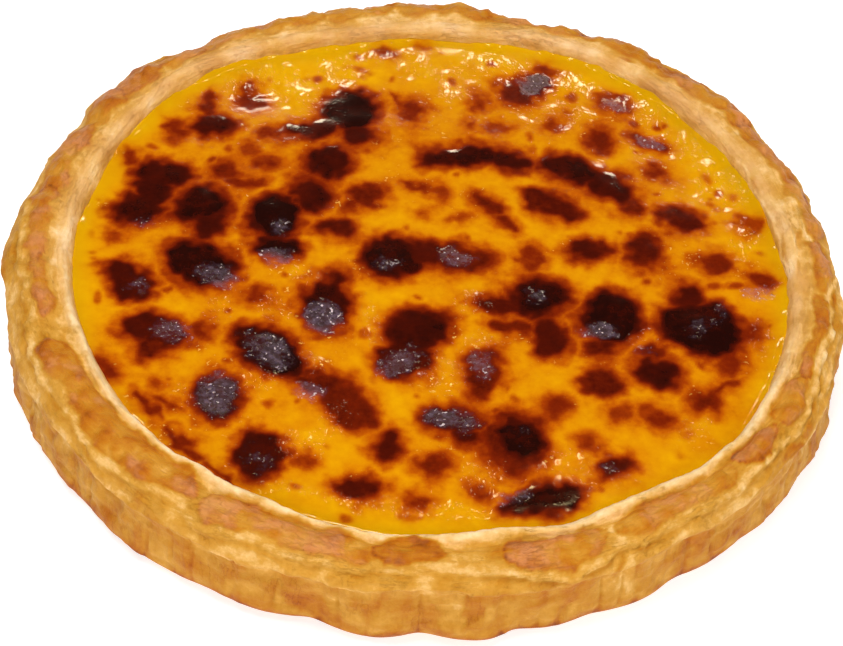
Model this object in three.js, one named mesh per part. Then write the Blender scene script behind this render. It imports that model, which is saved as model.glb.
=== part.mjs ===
// A family-size Portuguese custard tart: a hand-crimped puff pastry case and the baked custard that fills it.
// Millimetres, +Z up. The origin is the middle of the flat underside. Angles are in degrees, counter-clockwise
// from +X seen from above, and the tart's front is at -90.
import * as THREE from "three";

// ---- driving dimensions ----
const RIM_RADIUS = 99.6; // outside of the shoulder, before the folds swell it
const WALL_RADIUS = 99.8; // outside of the wall below the ledge
const HEEL_INSET = 2.4; // how far the rounded bottom edge draws in
const HEEL_HEIGHT = 1.8;
const CREST_HEIGHT = 22.5; // top of the pale inner lip
const PAD_HEIGHT = 22.1; // top of the browned band outside the lip
const SHOULDER_HEIGHT = 19.6;
const LEDGE_HEIGHT = 16.6; // lower edge of the top dough layer, where it overhangs the wall
const LEDGE_OVERHANG = 1.1;
const CUSTARD_LEVEL = 18.8; // height of the custard where it meets the case
const CUSTARD_DOME = 0.8; // how much higher its middle is
const BLISTER_HEIGHT = 1.2; // rise of a full-size scorched blister
const BLISTER_FULL_SIZE = 9; // half-length of a blister that rises by all of that
const FLOOR_THICKNESS = 4.5;
const CAVITY_TAPER = 4; // how much narrower the cavity is at its floor
const CLEARANCE = 0.3; // gap between the custard and the case

const COLUMNS = 176; // facets round the case
const CUSTARD_COLUMNS = COLUMNS / 2;
const CUSTARD_RINGS = 13;

// ---- hand-made irregularity ----
// Inner outline of the case at custard level: [angle, radius].
const INNER_OUTLINE = [
  [-170, 84.8], [-152, 84.2], [-125, 85.8], [-90, 87.2], [-60, 87.4], [-38, 88.8], [-14, 87.0], [12, 86.2],
  [38, 87.2], [65, 88.8], [88, 86.4], [107, 85.2], [131, 88.6], [152, 86.8], [168, 85.2],
];
// Folds of the crimped rim: [start, end, swell of the browned pad, bulge of the outline]. Each starts with a
// rounded end tucked under its neighbour and fades out towards its own end.
const FOLDS = [
  [-176, -165, 0.8, 1.2], [-163, -124, 1.1, 0.8], [-119, -93, 0.9, 0.5], [-90, -80, 0.5, 0.5],
  [-77, -61, 0.8, 0.4], [-59, -34, 0.9, 0.4], [-33, -22, 0.9, 0.9], [-20, -9, 0.5, 1.1], [-7, 8, 0.5, 0.5],
  [10, 21, 0.4, 0.0], [22, 34, 0.5, 0.4], [36, 53, 0.8, 1.8], [55, 66, 0.9, 2.4], [68, 81, 0.4, -0.5],
  [83, 97, 0.7, 1.2], [99, 109, 0.5, 0.5], [111, 121, 0.4, 0.0], [122, 129, 0.5, 1.1], [130, 137, 0.4, 0.4],
  [138, 146, 0.8, 2.2], [147, 154.5, 0.8, 2.0], [156, 171, 0.4, -0.1], [172, 183, 0.8, 2.0],
];
// Notches between the flutes that the dough keeps round its foot.
const NOTCHES = [
  -175, -160, -143, -129, -114, -101, -87, -76, -67, -53, -43, -28, -4, 11, 24, 37, 52, 66, 79, 92, 106, 119,
  133, 147, 161, 173,
];
const FLUTE_DEPTH = 1.3; // depth of a flute of the usual width
const FLUTE_WIDTH = 14;
// Scorched blisters of the custard: [x, y, half-length, half-width, turn of the long axis].
const BLISTERS = [
  [-56.5, 46, 6.5, 4.5, -55], [-22, 54.5, 8, 6.5, -60], [-27.3, 34, 6.5, 6, 60], [-67.5, 27.5, 6.5, 4.5, 5],
  [-71.8, 12, 6.3, 5.5, -20], [-57, 15.5, 7.5, 6.3, 90], [-31, 21, 7.5, 4, -50], [-38.5, 12.5, 7, 7, 0],
  [-36, 1.5, 6, 6, 0], [-55.5, -3.5, 9.5, 8, -35], [10, 40, 12, 5, 0], [31, 38, 9, 4.6, -14],
  [43, 31, 9, 4.6, -48], [29, 23, 9.5, 4.3, -28], [62.5, 20.5, 5.5, 5, 0], [52.5, 7.5, 6, 5.2, 90],
  [-8, 0, 8, 8, 0], [5, 4, 11, 6.5, 5], [-70.5, -12, 8.5, 5.5, -38], [-66.5, -28, 8, 5.5, -20],
  [-23.5, -18, 7.5, 5.5, 90], [-36, -33, 11.5, 6.3, -43], [-45.8, -50.5, 7.5, 6, 85], [-34.5, -66, 6.3, 5, 90],
  [-2, -27, 13, 7, 58], [27.5, -11, 9, 6, 40], [29.5, -24, 6.5, 4.5, 85], [44, -15.5, 8.5, 7, 70],
  [65.5, -16, 10.5, 9, 15], [41.8, -37, 5.2, 5, 0], [7.5, -50.5, 6.5, 4.3, -15], [22, -56, 7.5, 7, 60],
  [28, -73.5, 9, 3.2, 18], [-15.5, -50, 7.5, 3.8, -62],
];

// ---- shape functions ----
const radians = (degrees) => (degrees * Math.PI) / 180;
const smooth = (t) => t * t * (3 - 2 * t);
const clamp01 = (t) => Math.min(1, Math.max(0, t));
const mix = (a, b, t) => a + (b - a) * t;

// An angle brought into the 360 degrees that start at `from`.
const unwrap = (angle, from) => from + ((((angle - from) % 360) + 360) % 360);

// The stretch [from, to, index] of a ring of sorted angles that holds an angle.
function stretchOf(angle, ring) {
  const turned = unwrap(angle, ring[0]);
  let index = ring.length - 1;
  while (ring[index] > turned) index -= 1;
  const next = index + 1 < ring.length ? ring[index + 1] : ring[0] + 360;
  return { share: (turned - ring[index]) / (next - ring[index]), width: next - ring[index], index };
}

function innerRadius(angle) {
  const { share, index } = stretchOf(angle, INNER_OUTLINE.map(([at]) => at));
  const next = (index + 1) % INNER_OUTLINE.length;
  return mix(INNER_OUTLINE[index][1], INNER_OUTLINE[next][1], smooth(share));
}

// How far the foot stands out between two notches.
function flute(angle) {
  const { share, width } = stretchOf(angle, NOTCHES);
  const arch = 1 - Math.abs(2 * share - 1) ** 2.4;
  return FLUTE_DEPTH * Math.min(1.3, width / FLUTE_WIDTH) * (arch - 0.7);
}

// The pad, outline and tuck of the fold at an angle.
function foldAt(angle) {
  const found = { swell: 0, bulge: 0, tuck: 0 };
  for (const [start, end, swell, bulge] of FOLDS) {
    const turned = unwrap(angle, start - 4);
    const share = (turned - start) / (end - start);
    found.tuck += Math.exp(-(((turned - start + 1) / 1.5) ** 2));
    if (share < 0 || share > 1) continue;
    found.swell += swell * smooth(clamp01(share / 0.15)) * smooth(clamp01((1 - share) / 0.4));
    found.bulge += bulge * Math.sin(Math.PI * share) ** 0.7;
  }
  return found;
}

// A slow rise and fall of hand-rolled dough, from -1 to 1.
const wander = (angle, phase) =>
  0.5 * Math.sin(3 * radians(angle) + phase) +
  0.3 * Math.sin(7 * radians(angle) + 2.1 * phase) +
  0.2 * Math.sin(13 * radians(angle) + 3.7 * phase);

// The case's section at an angle, from the edge of the underside up the wall, over the rim and down into the
// cavity: [radius, height] pairs.
function caseSection(angle) {
  const inner = innerRadius(angle);
  const { swell, bulge, tuck } = foldAt(angle);
  const foot = WALL_RADIUS + flute(angle);
  const wall = WALL_RADIUS + 0.5 * flute(angle) + 0.3 * bulge;
  const rim = RIM_RADIUS + bulge - 0.5 * tuck + 0.3 * wander(angle, 1.0);
  const ledge = LEDGE_HEIGHT + 1.2 * wander(angle, 2.0);
  const crest = CREST_HEIGHT + 0.5 * wander(angle, 0.4);
  const pad = PAD_HEIGHT - 0.5 * tuck;
  return [
    [foot - HEEL_INSET, 0],
    [foot, HEEL_HEIGHT],
    [foot + 0.3, 5],
    [wall + 0.3, 9.5],
    [wall, ledge - 3.4],
    [wall - 0.2, ledge - 0.9],
    [rim + LEDGE_OVERHANG, ledge],
    [rim, SHOULDER_HEIGHT + 0.2 * swell],
    [rim - 2.4, PAD_HEIGHT - 0.7 + 0.6 * swell - 0.4 * tuck],
    [rim - 5.2, pad + swell],
    [inner + 5.0, pad + 0.5 * swell],
    [inner + 4.1, CREST_HEIGHT - 0.3 - 0.5 * swell],
    [inner + 3.0, crest],
    [inner + 1.9, crest],
    [inner + 0.9, CREST_HEIGHT - 1.3],
    [inner, CUSTARD_LEVEL],
    [inner - CAVITY_TAPER / 2, FLOOR_THICKNESS + 2.5],
    [inner - CAVITY_TAPER, FLOOR_THICKNESS],
  ];
}

// The rise of one blister at a place, a low dome that ends at its ellipse.
function blisterRise([x, y, halfLength, halfWidth, turn], px, py) {
  const along = new THREE.Vector2(px - x, py - y).rotateAround(new THREE.Vector2(), -radians(turn));
  const off = (along.x / halfLength) ** 2 + (along.y / halfWidth) ** 2;
  return off < 1 ? BLISTER_HEIGHT * Math.min(1, halfLength / BLISTER_FULL_SIZE) * (1 - off) ** 0.8 : 0;
}

// The custard's surface: a shallow dome with slow waves and the scorched blisters on it.
function custardHeight(x, y, share) {
  const settle = 1 - share ** 4;
  const waves = 0.35 * Math.sin(0.09 * x + 0.7) * Math.cos(0.075 * y - 0.4);
  const rise = Math.max(...BLISTERS.map((blister) => blisterRise(blister, x, y)));
  return CUSTARD_LEVEL - CLEARANCE + settle * (CUSTARD_DOME + waves) + rise * clamp01((1 - share) * 12);
}

// ---- solids ----
// A closed solid from rings of points, each ring with the same number of points, running from the underside's
// middle outwards, up, and back to the axis. `first` and `last` are the two points on the axis.
function closedTurning(first, rings, last) {
  const count = rings[0].length;
  const points = [first, ...rings.flat(), last];
  const faces = [];
  const at = (ring, column) => 1 + ring * count + (column % count);
  for (let column = 0; column < count; column += 1) {
    faces.push(0, at(0, column + 1), at(0, column));
    for (let ring = 0; ring + 1 < rings.length; ring += 1) {
      const [a, b] = [at(ring, column), at(ring, column + 1)];
      const [c, d] = [at(ring + 1, column + 1), at(ring + 1, column)];
      faces.push(a, b, c, a, c, d);
    }
    faces.push(at(rings.length - 1, column), at(rings.length - 1, column + 1), points.length - 1);
  }
  const geometry = new THREE.BufferGeometry().setFromPoints(points);
  geometry.setIndex(faces);
  geometry.computeVertexNormals();
  return geometry;
}

const onRay = (angle, radius, height) =>
  new THREE.Vector3(radius * Math.cos(radians(angle)), radius * Math.sin(radians(angle)), height);

const anglesOf = (columns) => Array.from({ length: columns }, (_, column) => (360 * column) / columns);

function pastryCase() {
  const angles = anglesOf(COLUMNS);
  const sections = angles.map(caseSection);
  const rings = sections[0].map((_, row) => angles.map((angle, column) => onRay(angle, ...sections[column][row])));
  return closedTurning(new THREE.Vector3(0, 0, 0), rings, new THREE.Vector3(0, 0, FLOOR_THICKNESS));
}

function custardFilling() {
  const angles = anglesOf(CUSTARD_COLUMNS);
  const floor = FLOOR_THICKNESS + CLEARANCE;
  const ringAt = (inset, height) =>
    angles.map((angle) => onRay(angle, innerRadius(angle) - inset - CLEARANCE, height));
  const sides = [ringAt(CAVITY_TAPER, floor), ringAt(CAVITY_TAPER / 2, FLOOR_THICKNESS + 2.5)];
  const top = [];
  for (let ring = CUSTARD_RINGS; ring > 0; ring -= 1) {
    const share = ring / CUSTARD_RINGS;
    top.push(
      angles.map((angle) => {
        const point = onRay(angle, share * (innerRadius(angle) - CLEARANCE), 0);
        return point.setZ(custardHeight(point.x, point.y, share));
      }),
    );
  }
  const middle = new THREE.Vector3(0, 0, custardHeight(0, 0, 0));
  return closedTurning(new THREE.Vector3(0, 0, floor), [...sides, ...top], middle);
}

// ---- the tart ----
const pastry = new THREE.MeshStandardMaterial({ color: 0xd9a050, roughness: 0.6, metalness: 0 });
const custard = new THREE.MeshStandardMaterial({ color: 0xe8960c, roughness: 0.25, metalness: 0 });

function part(name, geometry, material) {
  const mesh = new THREE.Mesh(geometry, material);
  mesh.name = name;
  return mesh;
}

const tart = new THREE.Group();
tart.add(part("pastry_case", pastryCase(), pastry));
tart.add(part("custard_filling", custardFilling(), custard));

// The uneven folds put the middle of the outline half a millimetre off the axis: the origin is that middle.
const middle = new THREE.Box3().setFromObject(tart).getCenter(new THREE.Vector3());
tart.position.set(-middle.x, -middle.y, 0);

export default tart;
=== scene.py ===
# %% [markdown]
# # A family-size Portuguese custard tart
# The tart is two things that were baked together: a case of puff pastry, whose rim was folded over by hand,
# and a custard that set inside it and scorched in blisters under a fierce top heat. Each gets a mesh shaped
# with Blender's own tools, then the small accidents of baking are pressed into it in code, because no tool
# makes them. Everything here is in metres, so one small number, MM, turns the baker's millimetres into
# them.

# %% Load the frame
import math

import bpy
import numpy as np
from mathutils import Euler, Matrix, Quaternion, Vector, noise


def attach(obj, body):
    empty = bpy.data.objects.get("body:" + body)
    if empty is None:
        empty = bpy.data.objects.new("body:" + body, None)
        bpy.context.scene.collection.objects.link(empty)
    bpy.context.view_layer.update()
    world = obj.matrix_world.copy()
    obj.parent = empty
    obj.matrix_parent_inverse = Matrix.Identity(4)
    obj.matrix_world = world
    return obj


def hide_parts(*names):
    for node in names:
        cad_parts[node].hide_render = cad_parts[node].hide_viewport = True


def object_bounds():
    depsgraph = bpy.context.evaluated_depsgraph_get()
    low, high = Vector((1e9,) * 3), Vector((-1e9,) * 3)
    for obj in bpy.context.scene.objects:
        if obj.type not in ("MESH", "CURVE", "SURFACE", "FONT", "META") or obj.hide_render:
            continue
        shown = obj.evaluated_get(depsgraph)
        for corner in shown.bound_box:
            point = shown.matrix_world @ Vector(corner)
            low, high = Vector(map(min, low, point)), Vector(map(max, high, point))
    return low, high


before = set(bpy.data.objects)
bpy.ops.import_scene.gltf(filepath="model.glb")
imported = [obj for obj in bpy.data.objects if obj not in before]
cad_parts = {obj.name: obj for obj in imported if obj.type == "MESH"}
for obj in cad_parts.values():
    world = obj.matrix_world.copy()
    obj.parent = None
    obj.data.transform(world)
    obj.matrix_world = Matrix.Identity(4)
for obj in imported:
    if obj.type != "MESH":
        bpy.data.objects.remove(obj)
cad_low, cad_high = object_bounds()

MM = 0.001
# The folds put the middle of the drawn outline off the axis, and the frame's origin is that middle.
SHIFT = np.array([0.53, -0.40, 0.0])

print("frame box, mm:", [round(edge / MM, 1) for edge in (*cad_low, *cad_high)])

# %% [markdown]
# ## Camera, floor and light
# A tart on a pale table is seen from above at about 45 degrees, with a long lens that keeps its round
# outline calm. The camera leans a little to one side, as a hand-held one does.
#
# Wet custard is a mirror, so the lights do two jobs. Three wide soft panels give the brightness, and they
# are kept out of reflections, because a wide panel would lie on the custard as one grey sheet. A weak copy
# of the upper one, which does reflect, leaves a thin warm sheen. Small lamps all round give the glints:
# three behind, where the far edge catches them, two higher ones that strike golden sparks from the puckered
# skin, and three very weak ones for whoever looks from another side.

# %% Camera
CAMERA_LIFT = math.radians(44.86)
CAMERA_LEAN = math.radians(3.62)
CAMERA_DISTANCE = 600 * MM
AIM = Vector((-0.01, -11.76, 10.0)) * MM

camera_data = bpy.data.cameras.new("camera")
camera_data.lens = 106.3
camera_data.sensor_width = 36
camera = bpy.data.objects.new("camera", camera_data)
bpy.context.scene.collection.objects.link(camera)
camera.rotation_mode = "QUATERNION"
camera.location = AIM + CAMERA_DISTANCE * Vector((0, -math.cos(CAMERA_LIFT), math.sin(CAMERA_LIFT)))
camera.rotation_quaternion = Euler((math.pi / 2 - CAMERA_LIFT, 0, 0)).to_quaternion() @ Quaternion(
    (0, 0, 1), CAMERA_LEAN
)
bpy.context.scene.camera = camera
print("camera at, mm:", [round(value / MM) for value in camera.location])


# %% Lights and world
STUDIO_WHITE = (1.0, 0.99, 0.97, 1)
COOL_WHITE = (0.94, 0.95, 1.0)
SOFT_WHITE = (1.0, 0.97, 0.94)
WARM_SHEEN = (1.0, 0.92, 0.80)
LAMP_YELLOW = (1.0, 0.91, 0.66)
SPARK_GOLD = (1.0, 0.80, 0.40)


def set_sockets(node, values):
    """Sets a node's sockets, by name, to plain numbers and colours."""
    for name, value in values.items():
        node.inputs[name].default_value = value


def panel(name, place, aim, size, watts, colour, mirrored=True):
    """A square soft light at a place, turned to face its aim; all in millimetres."""
    data = bpy.data.lights.new(name, "AREA")
    data.energy = watts
    data.size = size * MM
    data.color = colour
    light = bpy.data.objects.new(name, data)
    bpy.context.scene.collection.objects.link(light)
    light.location = Vector(place) * MM
    light.rotation_mode = "QUATERNION"
    light.rotation_quaternion = (Vector(aim) - Vector(place)).to_track_quat("-Z", "Y")
    light.visible_glossy = mirrored


panel("overhead", (-110, -30, 700), (0, 0, 0), 400, 4.05, COOL_WHITE, mirrored=False)
panel("front", (-120, -660, 320), (0, -60, 10), 420, 2.7, SOFT_WHITE, mirrored=False)
panel("side", (640, -120, 300), (60, 0, 10), 360, 1.6, SOFT_WHITE, mirrored=False)
panel("sheen", (-110, -30, 700), (0, 0, 0), 400, 0.9, WARM_SHEEN)
# name, place, size, watts, colour
LAMPS = (
    ("behind_left", (-120, 860, 500), 90, 0.42, LAMP_YELLOW),
    ("behind", (20, 900, 500), 90, 0.42, LAMP_YELLOW),
    ("behind_right", (190, 830, 500), 90, 0.42, LAMP_YELLOW),
    ("spark_left", (-120, 300, 640), 50, 0.20, SPARK_GOLD),
    ("spark_right", (110, 315, 640), 50, 0.20, SPARK_GOLD),
    ("before", (60, -800, 480), 60, 0.05, LAMP_YELLOW),
    ("left", (-800, -60, 480), 60, 0.05, LAMP_YELLOW),
    ("right", (800, 60, 480), 60, 0.05, LAMP_YELLOW),
)
for name, place, size, watts, colour in LAMPS:
    # Each lamp is aimed near the middle, a little towards its own side
    panel(name, place, (place[0] / 5, 20, 20), size, watts, colour)

world = bpy.data.worlds.new("studio")
world.use_nodes = True
set_sockets(world.node_tree.nodes["Background"], {"Color": STUDIO_WHITE, "Strength": 0.025})
bpy.context.scene.world = world
bpy.context.scene.view_settings.view_transform = "Standard"

# %% [markdown]
# The floor is a plain pale sheet that glows a little by itself, so that it stays white right up to the tart
# and throws some light back on to the wall, as a lit table top does.

# %% Floor
bpy.ops.object.select_all(action="DESELECT")
bpy.ops.mesh.primitive_plane_add(size=4.0, location=(0, 0, cad_low.z - 0.2 * MM))
floor = bpy.context.object
floor.name = "table_top"
floor_finish = bpy.data.materials.new("table_top")
floor_finish.use_nodes = True
set_sockets(floor_finish.node_tree.nodes["Principled BSDF"], {
    "Base Color": (0.6, 0.62, 0.64, 1),
    "Emission Color": STUDIO_WHITE,
    "Emission Strength": 0.68,
    "Roughness": 0.9,
})
floor.data.materials.append(floor_finish)
print("floor laid")

# %% [markdown]
# ## Hand-made irregularity
# Nothing on a hand-crimped tart repeats exactly, and nothing jumps: every edge wanders and comes back round
# to where it started. A sum of a few sine waves with whole numbers of turns does that along an angle, and
# Blender's own noise does it in space. Both are seeded, so the tart comes out the same every time.


# %% Wandering helpers
def wander(angle, seed, waves):
    """A closed wander round the tart, about -1 to 1, from waves with these numbers of turns."""
    starts = np.random.default_rng(seed).uniform(0, 2 * math.pi, len(waves))
    return sum(np.sin(turns * angle + start) for turns, start in zip(waves, starts)) / math.sqrt(len(waves))


def cloud(points, size, seed=0):
    """Smooth noise in space, about -1 to 1, with lumps of one size in the points' own unit."""
    jump = Vector((17.3, 5.1, 29.7)) * seed
    return np.array([noise.noise(Vector(point) / size + jump) for point in points]) * 1.6


def ease(value, start, end):
    """0 before start, 1 after end, smooth between them."""
    share = np.clip((value - start) / (end - start), 0, 1)
    return share * share * (3 - 2 * share)


def bump_at(value, middle, half):
    """1 at the middle, falling smoothly to 0 a few half-widths away."""
    return np.exp(-(((value - middle) / half) ** 2))


def turned(angle, start):
    """Degrees past the start, going counter-clockwise, from 0 to 360."""
    return np.mod(angle - start, 360)


print("a wander at four angles:", np.round(wander(np.arange(4.0), 1, (2, 3, 5)), 2))

# %% [markdown]
# ## The outline, the folds and the foot
# Lists say what the baker's hands did, each as places round the tart: where the custard meets the dough, how
# far the rim and the foot stand out, how plump the lip is, where the browning starts beside it, where the
# folded layer ends in a pale edge, and where the lip was pressed flat. The rim and the foot have many places,
# because they follow the measured outline of a real tart, with a notch or a swelling every few degrees.
# Between two places of a list the value eases from one to the next. Lengths are in millimetres, and angles
# are in degrees, counter-clockwise from +X seen from above; the front of the tart is at -90.

# %% The baker's lists
# angle, radius
INNER_OUTLINE = (
    (-170, 84.8), (-152, 84.2), (-125, 85.8), (-90, 87.2), (-60, 87.4), (-38, 88.8), (-14, 87.0),
    (12, 86.2), (38, 87.2), (65, 88.8), (88, 86.4), (107, 85.2), (131, 88.6), (152, 86.8), (168, 85.2),
)
# angle, how far the rim's outline stands out
RIM = (
    (-176, 1.4), (-171, 0.1), (-163, 0.2), (-150, 0.6), (-121, 0.2), (-106, 0.5), (-92, 0.2), (-84, 0.4),
    (-79, 0.0), (-70, 0.5), (-57, 0.2), (-43, 0.5), (-33, 0.2), (-28, 0.8), (-16, -0.2), (-8, 0.3),
    (2, -0.7), (8, -0.9), (12, -0.2), (16, -1.6), (20, 0.4), (27, -0.7), (32, -0.8), (41, 1.9), (48, 0.3),
    (52, 1.0), (56, 0.8), (60, 2.5), (65, 0.6), (68, 0.8), (73, -1.5), (80, -0.9), (85, 0.8), (92, 0.4),
    (96, 1.8), (101, -0.6), (108, 0.6), (116, -0.6), (124, 0.6), (132, -1.2), (140, 2.7), (144, 2.0),
    (148, 2.7), (154, 0.4), (160, 0.4), (169, -0.4), (177, 1.1),
)
# angle, how far the foot stands out
FOOT = (
    (-172, 0.6), (-157, 2.0), (-150, 1.7), (-137, 1.2), (-128, 2.0), (-120, 1.5), (-116, 0.8), (-110, 1.5),
    (-102, -0.8), (-94, 1.9), (-88, -0.8), (-80, 2.1), (-76, -0.5), (-71, 0.9), (-66, -0.1), (-59, 1.1),
    (-53, -0.8), (-47, 0.8), (-42, 0.5), (-36, 1.6), (-29, 0.9), (-21, 2.2), (-10, 0.4), (0, 0.9),
    (10, -0.3), (20, 1.0), (32, -0.4), (44, 1.0), (56, -0.5), (70, 1.0), (84, -0.4), (98, 1.0), (111, -0.5),
    (124, 0.9), (137, -0.3), (150, 1.0), (165, -0.2),
)
# angle, how much the lip is thicker than its usual two millimetres
PLUMP = (
    (-180, 0.0), (-160, 0.3), (-150, -0.2), (-138, 0.2), (-122, 1.0), (-112, 1.5), (-99, 0.5), (-88, 0.8),
    (-80, 2.3), (-74, 1.3), (-66, 1.0), (-60, 2.0), (-51, 1.5), (-45, 0.6), (-40, 1.1), (-30, 0.8),
    (-20, 0.5), (0, 0.2), (90, 0.4),
)
# angle, where browning starts outside the lip's crest
BROWN_FROM = (
    (-180, 3.5), (-165, 3.0), (-157, 2.6), (-150, 2.0), (-143, 1.5), (-137, 1.0), (-130, 0.1), (-125, 0.5),
    (-119, 2.0), (-112, 0.9), (-99, 0.6), (-95, 1.5), (-91, 0.2), (-87, 0.3), (-82, 1.0), (-76, 2.0),
    (-70, 1.6), (-64, 1.8), (-56, 1.0), (-44, 1.5), (-40, 0.6), (-34, 0.4), (-30, 1.5), (-24, 0.6),
    (-20, 3.2), (-10, 3.8), (0, 4.2), (12, 5.0), (20, 4.4), (30, 4.0), (50, 3.6), (70, 3.0), (95, 3.8),
    (110, 3.8), (130, 3.4), (150, 3.6), (170, 3.4),
)
# angle, where the folded layer ends, how high its edge stands
FOLD_EDGE = (
    (-180, 9.5, 0.5), (-172, 9.0, 0.6), (-163, 8.0, 0.9), (-156, 10.6, 0.8), (-149, 10.2, 0.7),
    (-143, 9.6, 0.6), (-138, 11.2, 0.7), (-134, 12.0, 0.7), (-129, 10.6, 0.5), (-122, 9.4, 0.5),
    (-118, 12.0, 0.5), (-111, 10.4, 0.6), (-100, 11.0, 0.6), (-93, 10.2, 0.5), (-86, 9.2, 0.5),
    (-81, 9.8, 0.8), (-76, 11.6, 1.0), (-70, 13.6, 1.3), (-66, 12.2, 1.2), (-62, 10.6, 0.8),
    (-52, 10.6, 0.6), (-42, 11.0, 0.6), (-36, 10.6, 0.6), (-30, 11.5, 0.9), (-24, 10.0, 0.9),
    (-16, 9.0, 0.8), (-6, 9.6, 0.6), (8, 13.0, 0.5), (60, 14.0, 0.3), (120, 14.0, 0.3), (165, 12.5, 0.4),
)
# angle, how flat the lip is pressed into the rim, from 0 for a sharp crest with a crease outside it
FLAT_LIP = (
    (-178, 0.7), (-165, 0.1), (-150, 0.0), (-30, 0.0), (-14, 0.6), (0, 1.0), (14, 0.6), (25, 1.0),
    (60, 1.0), (85, 0.7), (100, 1.0), (140, 1.0), (165, 0.8),
)
# Each fold: start, end, swell, how dark it bakes. It starts with a rounded end and fades out at the other.
FOLDS = (
    (-174, -161, 0.7, 0.56), (-157, -120, 1.1, 0.60), (-119.5, -93.5, 0.9, 0.49), (-95, -85, 0.5, 0.68),
    (-78, -63, 0.7, 0.62), (-62, -41, 0.7, 0.50), (-40.5, -31.5, 0.7, 0.68), (-31, -20.5, 0.6, 0.52),
    (-21, -3, 0.6, 0.64), (-3, 9, 0.4, 0.56), (9, 22, 0.4, 0.48), (21, 36, 0.6, 0.56), (35, 54, 0.8, 0.54),
    (53, 68, 0.9, 0.54), (67, 83, 0.4, 0.50), (82, 99, 0.7, 0.50), (98, 110, 0.5, 0.48),
    (109, 122, 0.4, 0.48), (121, 131, 0.5, 0.50), (130, 139, 0.4, 0.54), (138, 147, 0.8, 0.60),
    (146, 156, 0.8, 0.60), (155, 172, 0.5, 0.54), (171, 187, 0.8, 0.52),
)


def listed(rows, angle, column=1, notched=False):
    """A list's value at angles in degrees; a notched list is sharp where low and round where high."""
    at = np.array([row[0] for row in rows] + [rows[0][0] + 360], float)
    value = np.array([row[column] for row in rows] + [rows[0][column]], float)
    past = turned(angle, at[0]) + at[0]
    after = np.clip(np.searchsorted(at, past, side="right"), 1, len(at) - 1)
    share = (past - at[after - 1]) / (at[after] - at[after - 1])
    first, last = value[after - 1], value[after]
    if notched:
        rising = np.sin(0.5 * math.pi * share)
        falling = 1 - np.sin(0.5 * math.pi * (1 - share))
        return first + (last - first) * np.where(last > first, rising, falling)
    return first + (last - first) * ease(share, 0, 1)


print("inner radius at the front, mm:", round(float(listed(INNER_OUTLINE, np.array([-90.0]))[0]), 1))

# %% [markdown]
# ## The case
# A case like this could be sculpted from a lump, but its section is the same idea all the way round: a flat
# foot, a straight wall, a ledge where the folded layer ends, a plump rim, a thin pale lip and the cavity.
# So it starts as one circle that is extruded ring by ring up that section, as a potter raises a wall. Then
# each column of this cage is moved to the folds' own section, the cage is subdivided, and its two open ends
# are closed.

# %% Raise the case from one circle
CASE_COLUMNS = 208
MEAN_INNER_RADIUS = 86.8
# name, radius and height of each ring in mm, from the underside to the cavity's floor
CASE_RINGS = (
    ("under", 60.0, 0.0), ("sole", 94.0, 0.0), ("sole_edge", 97.2, 0.1), ("heel", 99.3, 1.3),
    ("foot", 100.1, 3.6), ("wall_low", 100.1, 6.4), ("wall", 99.9, 9.2), ("wall_high", 99.8, 12.0),
    ("wall_top", 99.7, 14.4), ("under_ledge", 99.9, 16.0), ("ledge", 101.0, 17.0), ("brow", 100.4, 18.5),
    ("shoulder", 99.2, 20.1), ("pad_edge", 97.4, 21.5), ("pad_out", 95.8, 22.3), ("crown", 94.0, 22.6),
    ("pad_in", 92.4, 22.4), ("pad_root", 91.4, 22.0), ("crease", 90.7, 21.8), ("crest_out", 90.0, 22.5),
    ("crest", 89.3, 22.8), ("crest_in", 88.6, 22.4), ("inner_high", 87.8, 21.2), ("inner_low", 87.2, 19.8),
    ("contact", MEAN_INNER_RADIUS, 18.4), ("cavity", 85.0, 8.0), ("cavity_floor", 82.0, 4.5),
)

bpy.ops.object.select_all(action="DESELECT")
first_radius = CASE_RINGS[0][1] * MM
bpy.ops.mesh.primitive_circle_add(vertices=CASE_COLUMNS, radius=first_radius, location=(0, 0, 0))
case = bpy.context.object
case.name = "pastry_crust"
bpy.ops.object.mode_set(mode="EDIT")
bpy.ops.mesh.select_all(action="SELECT")
radius, height = CASE_RINGS[0][1:]
for _, next_radius, next_height in CASE_RINGS[1:]:
    grow = next_radius / radius
    bpy.ops.mesh.extrude_edges_move(
        TRANSFORM_OT_translate={"value": (0, 0, (next_height - height) * MM)}
    )
    bpy.ops.transform.resize(value=(grow, grow, 1), center_override=(0, 0, next_height * MM))
    radius, height = next_radius, next_height
bpy.ops.mesh.select_all(action="DESELECT")
bpy.ops.object.mode_set(mode="OBJECT")
print("case cage:", len(case.data.vertices), "points")


# %% Read, move and close
def points_of(thing):
    """The mesh's points as an array in millimetres."""
    places = np.empty(len(thing.data.vertices) * 3)
    thing.data.vertices.foreach_get("co", places)
    return places.reshape(-1, 3) / MM


def put_points(thing, places):
    """Moves the mesh's points to places in millimetres."""
    thing.data.vertices.foreach_set("co", (places * MM).ravel())
    thing.data.update()


def close_up():
    """Fills the selected border loops, turns every face outwards and leaves edit mode."""
    bpy.ops.mesh.edge_face_add()
    bpy.ops.mesh.select_all(action="SELECT")
    bpy.ops.mesh.normals_make_consistent(inside=False)
    bpy.ops.mesh.select_all(action="DESELECT")
    bpy.ops.object.mode_set(mode="OBJECT")


print("cage height, mm:", round(float(points_of(case)[:, 2].max()), 1))

# %% [markdown]
# ## The folds' section
# Now each ring of the cage gets its true place at each angle. The rings from the lip inwards follow the
# inner outline, the rings from the shoulder outwards follow the folds' outline, and the wall follows the
# flutes. Where a fold starts, its neighbour lies over it, so the rim dips there in a sharp tuck.


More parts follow.
